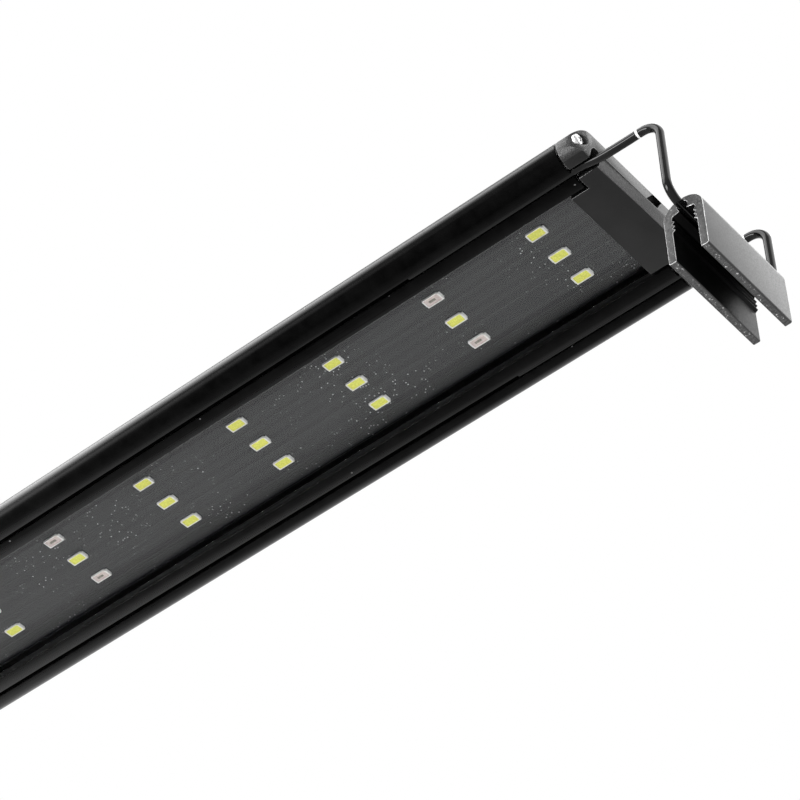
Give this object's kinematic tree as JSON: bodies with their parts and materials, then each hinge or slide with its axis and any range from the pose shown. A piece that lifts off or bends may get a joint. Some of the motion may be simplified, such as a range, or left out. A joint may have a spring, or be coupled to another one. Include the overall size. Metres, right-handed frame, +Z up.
{
  "type": "led aquarium light",
  "caption": "Slim LED bar light for an aquarium, with a clear cover underneath, sliding wire brackets at both ends and rim clips that swing on them.",
  "frame": {"origin": "midway between the two clips, on the level of the clips' lower edges", "axes": "+X along the rail to the right end, +Y across the rail to the back, +Z up, with the LEDs facing down"},
  "size_m": [0.437, 0.0578, 0.0519],
  "materials": {
    "anodised_rail": "black anodised, satin",
    "anodised_clip": "dark anodised, satin, with bare sawn ends",
    "cap_plastic": "black moulded, fine texture",
    "clear_cover": "clear acrylic, polished",
    "board_black": "black solder mask, semi-gloss",
    "led_white": "white package with yellow phosphor",
    "led_colour": "white package with clear resin over a coloured die",
    "bracket_wire": "gloss black coating",
    "screw_steel": "bright plated",
    "black_rubber": "matte",
    "chip_ceramic": "fired ceramic",
    "solder": "tinned"
  },
  "bodies": {
    "lamp": {"board_terminal": "solder", "clear_cover": "clear_cover", "cord_grommet": "black_rubber", "housing": "anodised_rail", "led_board": "board_black", "led_row01_back": "led_white", "led_row01_front": "led_white", "led_row01_middle": "led_white", "led_row02_back": "led_colour", "led_row02_front": "led_colour", "led_row02_middle": "led_white", "led_row03_back": "led_white", "led_row03_front": "led_white", "led_row03_middle": "led_white", "led_row04_back": "led_white", "led_row04_front": "led_white", "led_row04_middle": "led_white", "led_row05_back": "led_white", "led_row05_front": "led_white", "led_row05_middle": "led_white", "led_row06_back": "led_colour", "led_row06_front": "led_colour", "led_row06_middle": "led_white", "led_row07_back": "led_white", "led_row07_front": "led_white", "led_row07_middle": "led_white", "led_row08_back": "led_white", "led_row08_front": "led_white", "led_row08_middle": "led_white", "led_row09_back": "led_white", "led_row09_front": "led_white", "led_row09_middle": "led_white", "led_row10_back": "led_colour", "led_row10_front": "led_colour", "led_row10_middle": "led_white", "led_row11_back": "led_white", "led_row11_front": "led_white", "led_row11_middle": "led_white", "left_back_screw": "screw_steel", "left_end_cap": "cap_plastic", "left_front_screw": "screw_steel", "left_gasket": "black_rubber", "resistor_back": "chip_ceramic", "resistor_front": "chip_ceramic", "resistor_middle": "chip_ceramic", "right_back_screw": "screw_steel", "right_end_cap": "cap_plastic", "right_front_screw": "screw_steel", "right_gasket": "black_rubber"},
    "right_bracket": {"right_bracket": "bracket_wire"},
    "right_clip": {"right_clip": "anodised_clip"},
    "left_bracket": {"left_bracket": "bracket_wire"},
    "left_clip": {"left_clip": "anodised_clip"}
  },
  "joints": [
    {"name": "right_bracket_slide", "type": "slide", "parent": "lamp", "child": "right_bracket", "axis": [1, 0, 0], "range_m": [-0.002, 0.036]},
    {"name": "left_bracket_slide", "type": "slide", "parent": "lamp", "child": "left_bracket", "axis": [-1, 0, 0], "range_m": [-0.002, 0.036]},
    {"name": "right_clip_swing", "type": "hinge", "parent": "right_bracket", "child": "right_clip", "pos_m": [0.2129, 0, 0.017], "axis": [0, 1, 0], "continuous": true},
    {"name": "left_clip_swing", "type": "hinge", "parent": "left_bracket", "child": "left_clip", "pos_m": [-0.2129, 0, 0.017], "axis": [0, 1, 0], "continuous": true}
  ]
}
